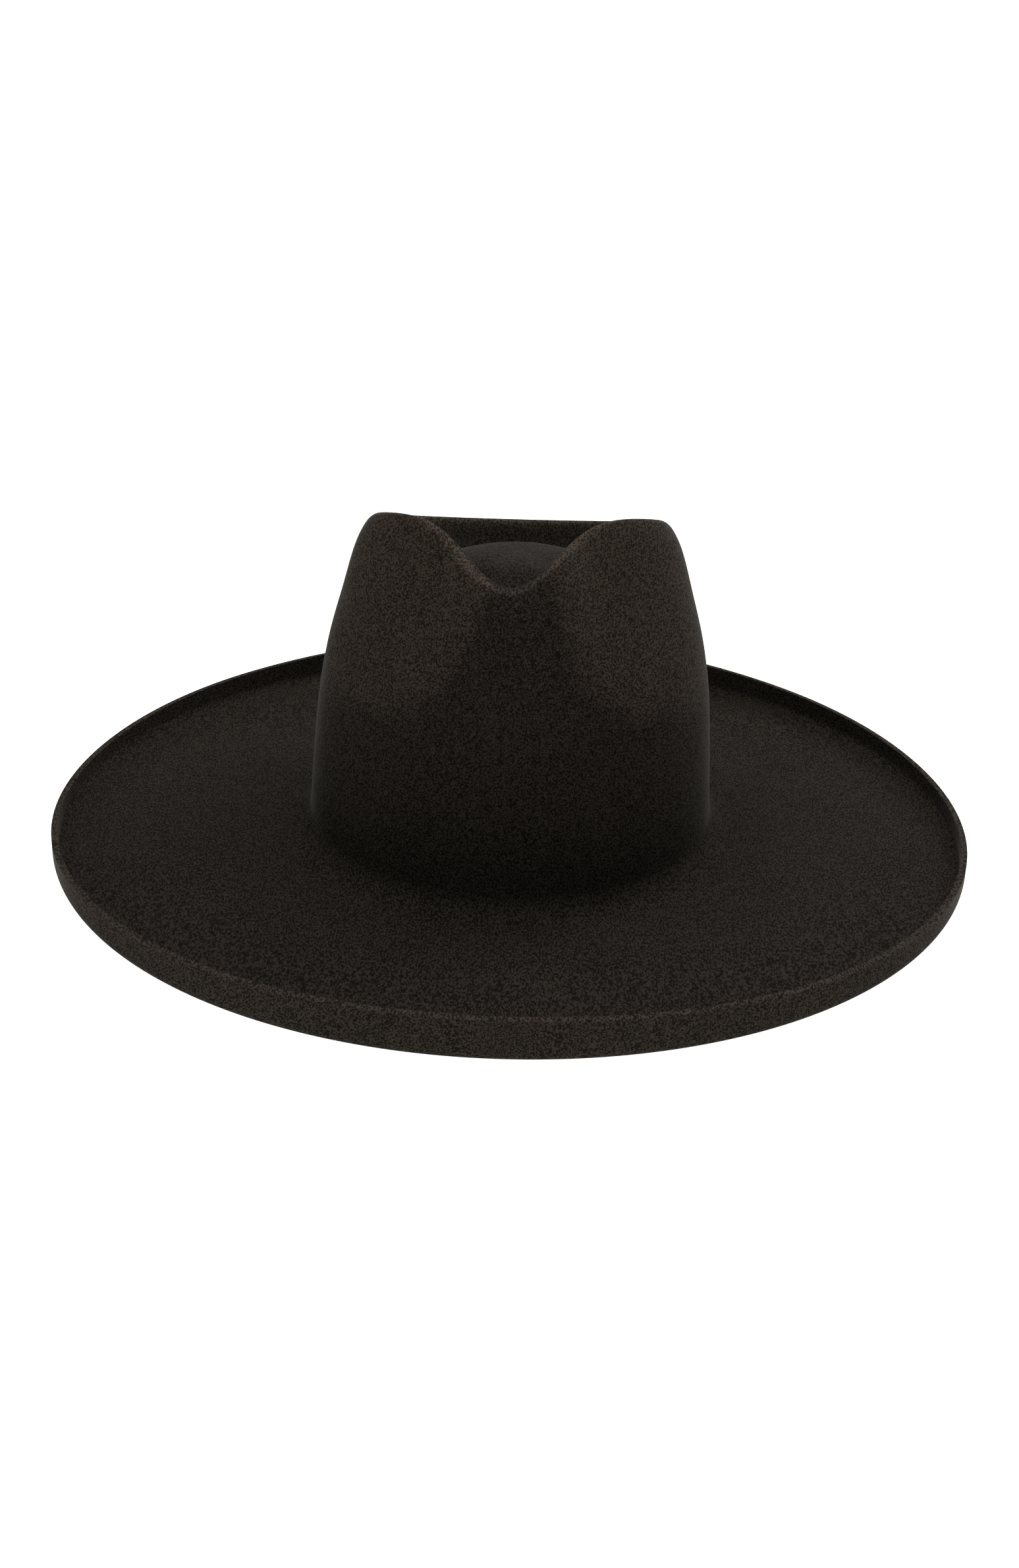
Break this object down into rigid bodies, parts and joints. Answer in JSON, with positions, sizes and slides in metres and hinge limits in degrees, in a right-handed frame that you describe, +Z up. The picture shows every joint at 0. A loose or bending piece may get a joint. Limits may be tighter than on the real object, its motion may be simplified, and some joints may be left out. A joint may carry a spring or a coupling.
{
  "type": "wide-brim fedora",
  "caption": "Pressed felt hat with a pinched, notched teardrop crown and a wide flat brim whose edge is turned up.",
  "frame": {"origin": "under the middle of the brim's oval, on the surface that the brim rests on", "axes": "+Z up, the front of the hat with the pinches faces -Y, +X to the left of a wearer"},
  "size_m": [0.3874, 0.419, 0.1419],
  "materials": {
    "felt": "matte brushed wool felt, very dark brown"
  },
  "bodies": {
    "root": {"felt_body": "felt"}
  },
  "joints": []
}
